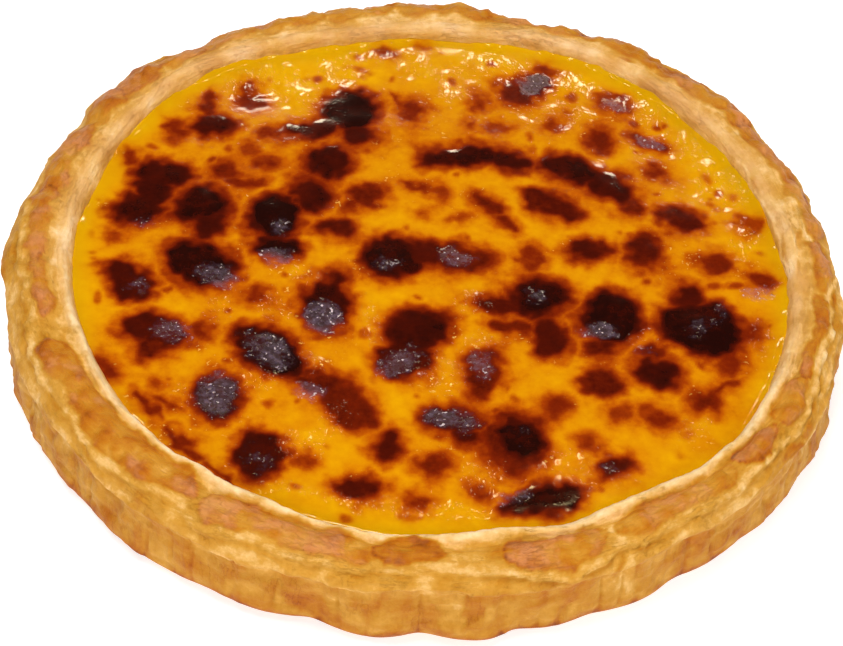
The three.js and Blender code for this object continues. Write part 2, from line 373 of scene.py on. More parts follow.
# %% Shape the cage
def fold_fields(angle):
    """Swell of the pad and depth of the tuck at angles in degrees."""
    swell, tuck = np.zeros_like(angle), np.zeros_like(angle)
    for start, end, pad, _ in FOLDS:
        past = turned(angle, start - 5) - 5
        share = past / (end - start)
        inside = (share > 0) & (share < 1)
        swell = np.maximum(swell, np.where(inside, pad * ease(share, 0, 0.15) * ease(1 - share, 0, 0.4), 0))
        tuck += bump_at(past, -0.8, 1.4)
    return swell, tuck


ring_of = np.repeat(np.arange(len(CASE_RINGS)), CASE_COLUMNS)
cage = points_of(case)
angle = np.degrees(np.arctan2(cage[:, 1], cage[:, 0]))
around = np.radians(angle)
swell, tuck = fold_fields(angle)
inner = listed(INNER_OUTLINE, angle)
plump = listed(PLUMP, angle)
flat_lip = listed(FLAT_LIP, angle)
ring_names = [name for name, _, _ in CASE_RINGS]
base_radius = np.array([radius for _, radius, _ in CASE_RINGS])[ring_of]
base_height = np.array([height for _, _, height in CASE_RINGS])[ring_of]
# Shares of each movement that a ring takes, from the sole to the cavity
FOLLOW = {
    "inner": dict(pad_out=0.25, crown=0.45, pad_in=0.75, pad_root=0.9, crease=1, crest_out=1, crest=1,
                  crest_in=1, inner_high=1, inner_low=1, contact=1, cavity=1, cavity_floor=1),
    "bulge": dict(wall=0.15, wall_high=0.3, wall_top=0.45, under_ledge=0.7, ledge=1, brow=1, shoulder=1,
                  pad_edge=0.9, pad_out=0.6, crown=0.3),
    "foot": dict(sole_edge=1, heel=1, foot=1, wall_low=0.9, wall=0.75, wall_high=0.6, wall_top=0.45,
                 under_ledge=0.3, ledge=0.1),
    "swell": dict(shoulder=0.3, pad_edge=0.7, pad_out=1, crown=1, pad_in=0.8, pad_root=0.3),
    "tuck": dict(shoulder=0.5, pad_edge=0.8, pad_out=1, crown=1, pad_in=0.8, pad_root=0.4, brow=0.3),
    "ledge": dict(wall_top=0.6, under_ledge=1, ledge=1, brow=0.6, shoulder=0.2),
    "lip": dict(crease=0.5, crest_out=1, crest=1, crest_in=0.9, inner_high=0.5),
    "plump_in": dict(crest=0.3, crest_in=0.6, inner_high=0.6, inner_low=0.3),
    "plump_up": dict(crest_out=0.3, crest=0.5, crest_in=0.5, inner_high=0.35),
    "flat": dict(pad_in=0.1, pad_root=0.45, crease=0.8, crest_out=0.1, crest=-0.4, crest_in=-0.5,
                 inner_high=-0.2),
}


def share_of(kind):
    """What part of a movement each cage point takes."""
    return np.array([FOLLOW[kind].get(name, 0.0) for name in ring_names])[ring_of]


new_radius = base_radius + share_of("inner") * (inner - MEAN_INNER_RADIUS)
new_radius += share_of("bulge") * listed(RIM, angle, notched=True)
new_radius += share_of("foot") * listed(FOOT, angle, notched=True) - 0.6 * share_of("tuck") * tuck
new_radius -= share_of("plump_in") * plump
new_radius += 0.45 * share_of("lip") * wander(around, 5, (9, 14, 23, 31))
new_height = base_height + share_of("swell") * swell - 0.7 * share_of("tuck") * tuck
new_height += share_of("plump_up") * plump + share_of("flat") * flat_lip
new_height += 1.1 * share_of("ledge") * wander(around, 6, (5, 8, 13, 21))
new_height += 0.35 * share_of("lip") * wander(around, 7, (4, 11, 17, 29))
cage = np.stack((new_radius * np.cos(around), new_radius * np.sin(around), new_height), axis=1)
put_points(case, cage)
print("case height, mm:", round(float(new_height.max()), 1))

# %% [markdown]
# Each point also learns where it sits on the section: its distance in millimetres outward along the surface
# from the crest of the lip. Subdivision carries that number along, so later steps can say "three
# millimetres outside the lip" wherever they are. It is kept as an attribute, which materials can read too.

# %% Measure the section and subdivide
section = np.array([(radius, height) for _, radius, height in CASE_RINGS])
steps = np.hypot(*np.diff(section, axis=0).T)
along = np.concatenate(([0], np.cumsum(steps)))
out_from_crest = along[ring_names.index("crest")] - along
place = case.data.attributes.new("section", "FLOAT", "POINT")
place.data.foreach_set("value", out_from_crest[ring_of])

RENDER_LEVELS = 2
soften = case.modifiers.new("soften", "SUBSURF")
soften.levels = RENDER_LEVELS
soften.render_levels = RENDER_LEVELS
bpy.ops.object.select_all(action="DESELECT")
bpy.context.view_layer.objects.active = case
case.select_set(True)
bpy.ops.object.modifier_apply(modifier="soften")
bpy.ops.object.mode_set(mode="EDIT")
bpy.ops.mesh.select_all(action="DESELECT")
bpy.ops.mesh.select_non_manifold(extend=False, use_wire=False, use_boundary=True, use_multi_face=False,
                                 use_non_contiguous=False, use_verts=False)
close_up()
print("case mesh:", len(case.data.vertices), "points,", 2 * len(case.data.polygons), "triangles")

# %% [markdown]
# ## Baking marks on the case
# The fine surface is pressed into the subdivided mesh point by point, along each point's normal: the
# browned pads with their slightly raised edges, thin dough layers that end in small steps, dents and
# blisters. At the same time each point gets its browning, from 0 for raw cream to 1 for deep brown, so that
# colour and shape agree; painted shade is added to it in the creases, under the folded layer's edge, in the
# hollows of the far rim and at the rounded start of each pad.


# %% Read back the section
def read_attribute(thing, name):
    """A number attribute of the points as an array."""
    values = np.empty(len(thing.data.vertices))
    thing.data.attributes[name].data.foreach_get("value", values)
    return values


def write_attribute(thing, name, values):
    """Stores one number for each point."""
    if name not in thing.data.attributes:
        thing.data.attributes.new(name, "FLOAT", "POINT")
    thing.data.attributes[name].data.foreach_set("value", values.astype(np.float32))


def normals_of(thing):
    """The points' normals as an array."""
    normals = np.empty(len(thing.data.vertices) * 3)
    thing.data.vertex_normals.foreach_get("vector", normals)
    return normals.reshape(-1, 3)


skin = points_of(case)
out = read_attribute(case, "section")
angle = np.degrees(np.arctan2(skin[:, 1], skin[:, 0]))
around = np.radians(angle)
lumps_large = cloud(skin, 9.0, 1)
lumps_middle = cloud(skin, 3.6, 2)
lumps_fine = cloud(skin, 1.5, 3)
print("section runs from", round(float(out.min()), 1), "to", round(float(out.max()), 1), "mm")


# %% Pads
PAD_RADIUS = 97
MM_PER_DEGREE = math.radians(1) * PAD_RADIUS
PAD_MARGIN = 1.7
edge_line = listed(FOLD_EDGE, angle, 1) + 0.35 * wander(around, 12, (31, 47, 67)) + 0.3 * lumps_middle
brown_line = listed(BROWN_FROM, angle) + 0.5 * wander(around, 11, (29, 43, 61)) + 0.35 * lumps_middle


def pad_of(fold):
    """How far in mm each point is inside a browned pad, negative outside, and how far past its start."""
    start, end, _, _ = fold
    length = (end - start) * MM_PER_DEGREE
    past = (turned(angle, start - 20) - 20) * MM_PER_DEGREE + 0.9 * lumps_middle
    middle = (edge_line - PAD_MARGIN + brown_line) / 2
    half = (edge_line - PAD_MARGIN - brown_line) / 2
    # A rounded blunt end at the start, and a longer taper at the other end
    nose = np.clip(past / half, 0, 1)
    tail = np.clip((length - past) / (1.3 * half), 0, 1)
    reach = half * np.sqrt(1 - (1 - nose) ** 2) * (1 - (1 - tail) ** 2) ** 0.7
    inside = (past > 0) & (past < length)
    depth = reach - np.abs(out - middle) + 0.35 * lumps_fine + 0.4 * lumps_large
    return np.where(inside, depth, -9), np.where(inside, past, 99)


pads = np.zeros(len(skin))
pad_bake = np.zeros(len(skin))
pad_rim_and_nose_shade = np.zeros(len(skin))
for fold in FOLDS:
    depth, past = pad_of(fold)
    pad = ease(depth, -0.3, 2.0)
    pads = np.maximum(pads, pad)
    pad_bake = np.maximum(pad_bake, fold[3] * ease(depth, -0.4, 0.9))
    narrow = ease(depth, -0.5, 0.4) * (1 - ease(depth, 0.6, 2.4))
    # Darker along the pad's edge from browning, most at its rounded start, where shade under the tuck is
    # painted.
    pad_rim_and_nose_shade = np.maximum(pad_rim_and_nose_shade, narrow * (0.5 + 1.2 * np.exp(-past / 2.5)))
print("pad area share:", round(float((pads > 0.5).mean()), 3))

# %% [markdown]
# Dough layers end in steps. Each listed edge starts and ends at an angle, lies a distance out from the
# crest, and wanders up and down; the surface above it stands proud by a fraction of a millimetre, which
# fades out upwards over a few millimetres, so each layer looks laid over the next one.

# %% Layer edges
# start, end, distance out at the start and at the end, wander, step in mm
LAYERS = (
    (-176, -150, 17.0, 15.5, 1.0, 0.6), (-158, -138, 20.5, 22.5, 0.8, 0.5),
    (-150, -128, 25.0, 23.0, 0.8, 0.35), (-150, -126, 13.5, 14.5, 0.8, 0.4),
    (-117, -103, 16.0, 17.2, 0.5, 0.5), (-101, -84, 15.5, 17.5, 0.8, 0.4), (-62, -36, 13.5, 15.0, 0.8, 0.4),
    (-34, -14, 13.5, 17.0, 1.2, 0.7), (-33, -17, 8.0, 7.0, 0.7, 0.7), (-26, -4, 12.0, 13.0, 1.0, 0.6),
    (-20, -2, 6.4, 7.6, 0.8, 0.5), (-16, 4, 19.0, 17.5, 0.9, 0.6), (-55, -30, 21.0, 19.0, 0.7, 0.35),
    (35, 95, 16.5, 17.5, 1.3, 0.9), (90, 150, 17.0, 16.5, 1.3, 0.9), (145, 190, 16.5, 17.5, 1.3, 0.8),
    (2, 30, -3.0, -2.0, 0.8, 0.4), (4, 18, 2.0, 3.4, 0.9, 0.5), (150, 200, 4.5, 6.0, 0.8, 0.4),
    (50, 80, 20.0, 22.0, 1.0, 0.4), (110, 140, 21.0, 19.0, 1.0, 0.4),
)
layer_lift = np.zeros(len(skin))
layer_edge = np.zeros(len(skin))
for number, (start, end, near, far, waver, step) in enumerate(LAYERS):
    share = (turned(angle, start - 10) - 10) / (end - start)
    line = near + (far - near) * np.clip(share, 0, 1) + waver * wander(around, 40 + number, (17, 29, 43, 61))
    above = line + 0.25 * lumps_fine - out
    fade = ease(share, 0.0, 0.12) * ease(1 - share, 0.0, 0.12)
    layer_lift += step * fade * np.where(above > 0, np.exp(-above / 2.6), 0) * ease(above, 0.0, 0.35)
    layer_edge = np.maximum(layer_edge, fade * bump_at(above, 0.5, 0.7) * min(1, step * 1.6))
above = edge_line + 0.2 * lumps_fine - out
step = listed(FOLD_EDGE, angle, 2)
proud = np.exp(-above / 2.2) * ease(above, 0, 0.45)
layer_lift += step * np.where(above > 0, proud, -0.35 * np.exp(above / 1.6))
layer_edge = np.maximum(layer_edge, bump_at(above, 1.1, 1.3) * np.clip(step * 1.4, 0, 1))
# A thin painted shadow just under the folded layer's edge.
painted_shadow_under_edge = bump_at(above, -0.5, 0.6) * np.clip(step, 0, 1)
print("layer edges:", len(LAYERS) + 1)

# %% [markdown]
# The wall is pleated up and down, as dough is where it slid down the tin, and the oven scorched it in
# places. The scorches are listed like the folds. The far rim is knobbly; its knobs are later painted paler
# and its hollows darker, as painted light and shade. All the shape goes into one lift along the normal; the
# hidden underside and cavity take none.

# %% Press the marks in
# angle, distance out, half-length round, half-length down, how dark
SCORCHES = (
    (-50.5, 17.5, 4.6, 3.8, 0.62), (-32, 14.5, 3.5, 2.2, 0.72), (-28, 12.5, 3.0, 1.2, 0.66),
    (-102, 24.5, 6.5, 4.0, 0.70), (-98, 27.5, 4.0, 2.5, 0.66), (-109, 28.5, 5.0, 3.5, 0.60),
    (-82, 20.0, 2.0, 4.5, 0.60), (-93, 18.5, 3.0, 2.0, 0.54), (-118, 24.0, 3.0, 4.0, 0.56),
    (-63, 15.0, 1.0, 5.0, 0.60), (-126, 26.0, 2.2, 6.0, 0.60), (-134, 28.0, 4.0, 3.0, 0.62),
    (-140, 30.0, 6.0, 2.0, 0.66), (-158, 26.0, 3.0, 6.0, 0.64), (-147, 20.0, 1.6, 6.0, 0.56),
    (-166, 22.0, 3.0, 7.0, 0.56), (-174, 18.0, 5.0, 5.0, 0.60), (-87, 24.0, 3.0, 5.0, 0.55),
    (-75, 25.0, 3.5, 4.0, 0.56), (-68, 22.0, 2.0, 5.0, 0.52), (-58, 24.0, 3.0, 4.0, 0.56),
    (-43, 24.0, 4.0, 4.0, 0.54), (-36, 20.0, 2.5, 6.0, 0.56), (-24, 22.0, 2.5, 6.0, 0.60),
    (-14, 16.0, 2.5, 5.0, 0.58), (-5, 20.0, 3.0, 6.0, 0.62), (-104, 16.0, 4.0, 2.0, 0.50),
    (-112, 20.0, 2.5, 3.5, 0.52), (-79, 4.5, 2.0, 1.6, 0.48), (-83, 6.5, 1.4, 1.0, 0.46),
    (-84, 3.0, 1.2, 1.0, 0.44), (2, 1.0, 3.0, 0.6, 0.42), (-4, 9.0, 4.0, 1.2, 0.68),
    (8, 6.0, 1.2, 3.0, 0.64), (18, 9.5, 3.0, 1.2, 0.72), (27, 10.0, 4.0, 1.4, 0.74),
    (36, 9.0, 3.0, 1.5, 0.74), (48, 10.0, 4.0, 1.2, 0.74), (66, 9.0, 3.0, 1.2, 0.70),
    (120, 9.0, 3.0, 1.5, 0.68), (150, 8.0, 3.0, 1.5, 0.72), (164, 8.0, 4.0, 1.5, 0.70),
    (42, 6.5, 2.0, 1.0, 0.66), (32, 5.5, 2.0, 0.8, 0.64), (58, 3.0, 3.0, 1.0, 0.72),
    (45, 3.6, 5.0, 0.8, 0.66), (10, 3.5, 2.0, 0.8, 0.62), (141, 4.5, 3.0, 1.0, 0.70),
)
visible = ease(out, -5.5, -3.5) * ease(31.5 - out, 0, 3)
wall = ease(out, 14, 17) * ease(33 - out, 0, 3)
pleats = np.stack((angle * MM_PER_DEGREE, out * 0.22, np.zeros_like(out)), axis=1)
crease = ease(1 - 2 * np.abs(cloud(pleats, 5.5, 22)), 0.5, 1.0)
layers = np.stack((around * 20, out, np.zeros_like(out)), axis=1)
flaking = 1 - 2 * np.abs(cloud(layers, 2.2, 23))
lift = 0.30 * pads + 0.30 * np.clip(lumps_middle, -1, 1) * pads
lift += layer_lift - 0.25
lift += wall * (0.30 * lumps_middle + 0.50 * lumps_large - 0.55 * crease)
lift += 0.20 * flaking * (1 - pads) * ease(out, 1, 3) + 0.12 * lumps_fine + 0.15 * lumps_middle * (1 - wall)
far_side = bump_at(turned(angle, -130), 180, 90)
knobbly = far_side * bump_at(out, 8, 4)
lift += knobbly * (0.35 * lumps_middle + 0.2 * lumps_fine)
skin = skin + (lift * visible)[:, None] * normals_of(case)
skin[:, 2] = np.maximum(skin[:, 2], 0.0)
put_points(case, skin)
print("lift, mm:", round(float(lift.min()), 2), "to", round(float(lift.max()), 2))

# %% [markdown]
# The browning starts from one even gold and is changed mark by mark: paler on the lip, darker in the
# browned band and on the pads, darkest along their raised edges and most at each pad's rounded start, where
# that dark is painted shade under the tuck, pale again where a layer's thin edge stands proud, with a thin
# painted shadow just under the folded layer's edge, darker in the wall's creases as painted shade, and brown
# in the listed scorches. On the far rim the knobs are painted paler and the hollows darker, as painted light
# and shade.

# %% Bake
# From an even gold; the wall's creases are painted darker as shade, and it darkens towards the foot.
bake = 0.36 + 0.05 * wall + 0.10 * lumps_large + 0.07 * lumps_middle + wall * 0.12 * crease
bake += wall * 0.10 * ease(cloud(skin, 14.0, 7), 0.0, 0.7) + 0.28 * ease(out + lumps_middle, 27, 31)
flat_here = listed(FLAT_LIP, angle)
pale = (0.88 - 0.41 * flat_here) * bump_at(out, -1.2 + 0.7 * flat_here, 2.9 + 0.7 * flat_here)
write_attribute(case, "pallor", flat_here * bump_at(out, -0.5, 3.6))
bake = bake * (1 - pale) + 0.10 * flat_here * lumps_large * bump_at(out, -1.0, 4.0)
band = ease(out - brown_line, -0.4, 1.4) * ease(edge_line - PAD_MARGIN - out, -0.4, 1.6)
bake = bake + (0.44 + 0.16 * lumps_large - bake) * band * 0.8
bake = bake - (0.11 + 0.12 * lumps_large) * layer_edge * (1 - pads)
bake = bake - 0.10 * far_side * ease(out, 2, 5) * (1 - wall)
bake = bake + (pad_bake + 0.10 * lumps_large - bake) * ease(pad_bake, 0, 0.5)
# Pad edges darken, most at each rounded start as painted shade; a thin painted shadow lies under the fold's
# edge.
bake += 0.16 * pad_rim_and_nose_shade + (0.20 * lumps_middle + 0.07 * lumps_fine) * pads + 0.16 * painted_shadow_under_edge
for mark_angle, mark_out, round_half, down_half, dark in SCORCHES:
    east = (turned(angle, mark_angle - 180) - 180) * MM_PER_DEGREE + 1.4 * lumps_middle
    down = out - mark_out + 1.4 * lumps_large
    near_mark = 1 - ease(np.hypot(east / round_half, down / down_half), 0.5, 1.3)
    bake = bake + (dark - bake) * np.where(bake < dark, near_mark, 0) * 0.9
# Painted light and shade on the far rim: the knobs paler, the hollows between them darker.
bake = bake - knobbly * (0.34 * lumps_middle + 0.10 * lumps_fine)
bake += 0.10 * far_side * bump_at(out, 11, 2.5)
write_attribute(case, "bake", np.clip(bake, 0, 1))
write_attribute(case, "glaze", pads)
print("bake, mean:", round(float(bake.mean()), 2))

# %% [markdown]
# ## The custard
# A set custard is one smooth sheet that domes a little and climbs a little where it touches the dough. A
# square grid gives even faces everywhere, with none of the thin wedges that meet in the middle of a disc,
# so a grid is made first and rounded off afterwards. Its border is then extruded down and closed, which
# makes it a solid.

# %% Lay out the custard sheet
CUSTARD_CELLS = 296
CUSTARD_LEVEL = 18.7
bpy.ops.object.select_all(action="DESELECT")
bpy.ops.mesh.primitive_grid_add(
    x_subdivisions=CUSTARD_CELLS, y_subdivisions=CUSTARD_CELLS, size=2 * MM, location=(0, 0, 0)
)
custard = bpy.context.object
custard.name = "custard_skin"
square = points_of(custard)
disc = np.stack(
    (
        square[:, 0] * np.sqrt(1 - square[:, 1] ** 2 / 2),
        square[:, 1] * np.sqrt(1 - square[:, 0] ** 2 / 2),
        np.zeros(len(square)),
    ),
    axis=1,
)
turn = np.degrees(np.arctan2(disc[:, 1], disc[:, 0]))
CUSTARD_OVERLAP = 0.3
edge_radius = listed(INNER_OUTLINE, turn) + CUSTARD_OVERLAP
sheet = disc * edge_radius[:, None]
sheet[:, 2] = CUSTARD_LEVEL
put_points(custard, sheet)
bpy.ops.object.mode_set(mode="EDIT")
bpy.ops.mesh.select_all(action="SELECT")
bpy.ops.mesh.region_to_loop()
CUSTARD_DEPTH = 13.5
bpy.ops.mesh.extrude_edges_move(TRANSFORM_OT_translate={"value": (0, 0, -CUSTARD_DEPTH * MM)})
bpy.ops.transform.resize(value=(0.96, 0.96, 1), center_override=(0, 0, (CUSTARD_LEVEL - CUSTARD_DEPTH) * MM))
close_up()
print("custard mesh:", len(custard.data.polygons), "faces")

# %% [markdown]
# ## Scorched blisters
# Under the grill the skin lifts in blisters and the tops burn first. Where they lie is what makes one tart
# differ from another, so they are listed: middle, half-length, half-width, turn of the long side, and how
# far each has burnt, from 0.3 for a freckle to 1 for black. The table is written in millimetres.

# %% The blisters
# x, y, half-length, half-width, turn in degrees, char
BLISTERS = (
    # upper left
    (-47, 56, 4, 3, 0, 0.6), (-49, 62, 4, 1.5, 100, 0.5), (-57, 46, 5, 4.6, 0, 0.85),
    (-59, 55, 5.5, 2.2, 95, 0.6), (-66, 44.5, 4.5, 2.2, -50, 0.55), (-22.5, 55, 7.6, 6.2, 100, 1.0),
    (-31.5, 47, 7, 3, 20, 0.85), (-19.5, 44.5, 4.5, 3.5, 90, 0.8), (-40, 43.5, 5, 2, 0, 0.45),
    (-7, 56, 4.5, 3, 90, 0.5), (-10, 59, 4, 1.2, 120, 0.4), (-26.5, 34, 6, 5.6, 0, 0.9),
    (-45.5, 38, 3, 2.5, 90, 0.4), (-42, 32.5, 2.8, 2.5, 0, 0.5), (-52, 29.3, 3.2, 3, 0, 0.55),
    (-46, 25.3, 5.5, 1.7, 0, 0.5), (-68, 26.5, 7, 4.6, 0, 0.9), (-69.5, 20, 5, 4.3, 90, 0.9),
    (-72, 13, 6, 5.6, 0, 0.9), (-76, 33, 4, 2, 90, 0.5), (-57, 16, 6.3, 6, 90, 0.95),
    (-54, 8.5, 4, 3.5, 90, 0.85), (-30.5, 21.5, 5, 4.3, 90, 0.85), (-33, 26, 3, 2, 60, 0.5),
    (-16, 22, 4.5, 3.8, 0, 0.6), (-20, 17, 3, 2, 45, 0.5), (-38, 12.5, 7, 6.6, 90, 1.0),
    (-36, 2, 5.2, 4, 0, 1.0), (-22.5, 9.7, 5, 3, 0, 0.75), (-77, 3, 2.5, 2, 0, 0.4),
    (-4, 28, 4, 1.4, -30, 0.45), (-1, 18, 1.6, 1.5, 0, 0.4), (-5, 83.5, 2, 1.5, 0, 0.4),
    (-14.5, 80, 3, 2, 0, 0.45),
    # upper right
    (1, 38.7, 5, 3.4, 15, 0.86), (9, 40, 6.5, 3.7, 5, 0.92), (18.5, 39.2, 6, 3.6, -8, 0.9),
    (31, 38.3, 4.5, 3.6, -10, 0.88), (37, 36, 5, 4.2, -30, 0.9), (44, 31, 6, 4.4, -40, 0.85),
    (50, 25.5, 4, 3.4, -40, 0.62), (30, 23, 8.5, 3.6, -28, 0.75), (13.5, 22.5, 3.5, 2, -48, 0.62),
    (18.5, 16.5, 4.5, 1.9, -42, 0.62), (10, 61.5, 2.8, 2.2, 90, 0.5), (20.5, 66, 5, 4, 90, 0.62),
    (25, 71, 5, 2.8, 90, 0.8), (27, 77, 2.5, 2.5, 0, 0.5), (46, 65.5, 4.5, 4, -40, 0.5),
    (41.5, 49, 4, 2.8, 90, 0.55), (54, 50, 6, 2.5, -30, 0.55), (57, 39.5, 2.5, 2.5, 0, 0.5),
    (62, 20.8, 5.3, 4.4, 0, 0.72), (78, 22, 4.5, 3, -30, 0.42), (39, 8, 4.8, 3.3, 0, 0.78),
    (52.5, 8, 6, 5.2, 90, 0.65), (69.7, 6.4, 4, 3.8, 0, 0.55), (25.2, 4.5, 5, 4, 90, 0.52),
    (1, 25.3, 2.5, 2, 90, 0.45), (7.5, 16.5, 1.8, 1.6, 0, 0.38), (8, 53, 1.6, 1.6, 0, 0.4),
    (15, 51, 3.5, 2, 0, 0.42), (30, 54, 3, 2, 0, 0.42), (80.5, 1, 4, 3.5, 0, 0.55),
    # lower left
    (-71, -12, 8, 4.5, -38, 0.86), (-54.5, -5, 8.5, 7.2, -30, 1.0), (-23.5, -16.5, 7.5, 5, 90, 0.95),
    (-22, -8, 3, 2.2, 90, 0.8), (-63, -28, 8.6, 4.6, -15, 0.82), (-62, -34, 3.5, 3, 90, 0.7),
    (-52, -27, 3, 2.5, 0, 0.55), (-36, -33, 10.5, 5.6, -40, 0.97), (-24, -42, 5.5, 3.6, -5, 0.68),
    (-16, -48, 8.5, 4.6, -58, 0.66), (-46, -49, 6.6, 5.6, 90, 0.95), (-34.5, -65.5, 6, 5.2, 90, 0.9),
    (-40, -14, 3, 2.5, 0, 0.5), (-25, -66.5, 3, 1.8, 0, 0.45), (-11.5, -73, 6, 3.4, 0, 0.74),
    (-6, -60, 4.2, 2.8, 90, 0.8), (-58, -51.7, 3.5, 1.3, -35, 0.45), (-73, -41, 4, 1.9, -50, 0.5),
    (-59.5, -44.5, 1.6, 1.5, 0, 0.4), (-62, -53, 5, 1.1, -52, 0.52), (-51, -64, 6, 1.2, -45, 0.55),
    (-43, -71.5, 4.5, 1.1, -38, 0.5),
    # centre
    (-9, 1, 7.8, 7, 100, 0.95), (0, 4, 6, 4.5, 0, 0.78), (8, 3, 8, 5, -8, 0.66),
    (-1.5, -24, 7.5, 6.5, 40, 0.88), (-4, -33, 7, 5.8, 65, 0.86), (3, -20, 3.5, 3, 30, 0.75),
    # lower right
    (27.5, -10, 7, 5.4, 55, 0.96), (18, -13, 6, 3, 0, 0.75), (30, -22.5, 6.6, 4.4, 90, 0.75),
    (20, -20, 5, 2, 0, 0.6), (44, -16, 8.4, 6.6, 80, 1.0), (42, -26, 4.5, 2.6, 0, 0.66),
    (51.5, -17, 2.2, 2, 0, 0.55), (65.5, -16.5, 9.4, 8.6, 0, 1.0), (63, -6, 4, 3, 60, 0.8),
    (55, -32.7, 5, 4.2, 0, 0.92), (54.5, -26.3, 3, 2.4, 0, 0.66), (42, -36.5, 5, 4.6, 0, 0.7),
    (14.5, -35, 8, 3.8, 80, 0.66), (30.7, -46, 4, 3, 40, 0.5), (46, -46, 3.2, 2.2, 0, 0.52),
    (55, -46, 3.4, 2.8, 0, 0.52), (65.5, -40, 3.6, 2.5, 40, 0.6), (71, -35, 3.6, 1.6, 40, 0.5),
    (71.7, -26.5, 5, 2.4, 90, 0.5), (8, -50.7, 6.3, 4, -10, 0.9), (11.5, -55.5, 3, 2.4, 0, 0.75),
    (23, -56, 5.8, 5.2, 90, 1.0), (22, -57, 9.5, 7.6, 80, 0.62), (38.5, -56, 2.3, 2.2, 0, 0.5),
    (44.5, -63, 4, 2.8, 45, 0.8), (4.5, -66.5, 3.8, 2.9, 0, 0.58), (14.7, -72, 2.8, 2.2, 0, 0.55),
    (29, -73.7, 9, 3.3, 18, 0.97), (0.5, -75, 2.5, 2, 0, 0.5), (78, -16, 3, 3, 0, 0.45),
)
# Between the blisters the yellow has already turned to amber in wide soft patches.
# x, y, half-length, half-width, turn in degrees, warmth
AMBER = (
    (-10, 50, 22, 12, 0, 0.12), (20, 52, 20, 10, 0, 0.11), (-45, 36, 16, 9, 20, 0.11),
    (40, 56, 16, 8, -25, 0.11), (-20, 26, 14, 7, 0, 0.10), (-60, 36, 10, 16, 0, 0.11),
    (-47, -18, 15, 8, -40, 0.12), (-28, -24, 14, 8, -30, 0.12), (-52, -62, 20, 6, -48, 0.05),
    (-36, -80, 20, 6, -20, 0.10), (18, -44, 10, 18, 10, 0.11), (50, -6, 18, 12, 20, 0.11),
    (14, -4, 22, 10, 0, 0.12), (-26, -50, 14, 10, -50, 0.11), (-44, -42, 12, 8, 0, 0.08),
    (66, -50, 18, 6, 48, 0.10), (42, -72, 14, 5, 28, 0.12), (79, -22, 5, 14, -8, 0.12),
    (58, -44, 16, 8, 40, 0.10), (-70, -40, 8, 18, 30, 0.10), (34, -66, 18, 7, 20, 0.11),
    (60, 32, 14, 10, -40, 0.10), (76, 26, 5, 12, 10, 0.08), (62, 54, 8, 5, -45, 0.08),
    (-62, 12, 16, 22, 0, 0.10), (5, 70, 20, 8, 0, 0.09), (36, 30, 20, 9, -30, 0.11),
)
# Where the burnt skin is dull and prickly with grains, under a painted lavender sheen with painted white
# glints; the last number is how much.
PRICKLED = (
    (-51, -8, 7, 4.6, -30, 0.8), (-24, -20.5, 5, 4.6, 90, 0.95), (-59, -28, 6, 4.4, -15, 0.8),
    (-37, -32, 9, 5, -40, 0.75), (-46, -48, 7.5, 6.2, 90, 0.95), (-36, -1.5, 4, 3, 0, 0.9),
    (-5, -34, 8, 5, 60, 0.75), (24.5, 71, 5, 2.6, 75, 0.9), (41, -20, 4.5, 3.5, 0, 1.0),
    (22, -73, 4, 2.4, 18, 0.7), (54, 50, 4, 2, -30, 0.9), (81, -4, 4, 3, 0, 0.8),
    (14.5, -33, 5, 3, 80, 0.8), (7, 3, 6, 4, -8, 0.6), (-25, -45, 4, 3.4, 0, 1.0),
    (8, -50.5, 7, 4.4, -10, 0.7), (23, -54, 4, 4, 0, 0.4), (-34, -66, 5, 5, 0, 0.5),
    (68, -14, 8, 3.4, 50, 0.5), (-68, -13, 5, 3, -38, 0.6), (-37, 9, 3, 3, 0, 0.5), (-9, -2, 4, 4, 0, 0.5),
    (53.5, -27, 2.4, 2, 0, 0.4), (27, -9, 4, 4.5, 0, 0.45), (46, 64, 3, 3, 0, 0.7),
    (44, -64, 3, 2, 0, 0.45), (-70, 8, 4, 3, 0, 0.4),
)
# Where the skin puckered as it cooled; the last number is how deep.
PUCKERED = (
    (-46, 65, 11, 7, 20, 0.8), (-27, 71, 5, 9, 0, 0.9), (-7, 75, 5, 6, 0, 1.0), (3, 70, 4, 9, 0, 0.8),
    (12, 76, 10, 6, 0, 0.8), (34, 71, 8, 5, -20, 0.8), (54, 62, 8, 5, -50, 1.0), (30, 58, 12, 4, 0, 0.5),
    (72, 35, 7, 9, 20, 1.1), (77, 15, 4, 7, 0, 1.1), (66, 48, 6, 4, -50, 0.9), (60, 50, 5, 5, 0, 0.8),
    (-35, 60, 5, 4, 0, 0.8), (-17, 79, 5, 4, 0, 0.8), (-28, -7, 4, 4, 0, 0.8), (-13, -20, 3, 8, 10, 0.9),
    (12, -13, 6, 4, 20, 0.8), (5, -37, 6, 6, 0, 0.8), (-26, -62, 7, 4, 0, 0.8), (-18, -52, 4, 6, 0, 0.7),
    (-36, -18, 4, 5, 0, 0.7), (-49, -20, 3, 5, 0, 0.7), (-24, -36, 4, 4, 0, 0.8), (-38, -43, 5, 5, 0, 0.8),
    (-54, -48, 4, 4, 0, 0.6), (-20, -76, 12, 2.5, -8, 0.9), (4, -78, 14, 2.5, 0, 1.0),
    (16, -68, 5, 5, 0, 0.7), (34, -62, 5, 5, 0, 0.7), (62, -50, 6, 4, 40, 0.5), (52, -22, 4, 4, 0, 0.8),
    (80, -18, 3, 6, 0, 0.7), (83, -2, 2.5, 4, 0, 0.8), (12, -26, 5, 4, 0, 0.6),
)
FRECKLES = 150
FRECKLED_RADIUS = 84
dice = np.random.default_rng(12)
print("blisters:", len(BLISTERS), "amber patches:", len(AMBER), "freckles:", FRECKLES)

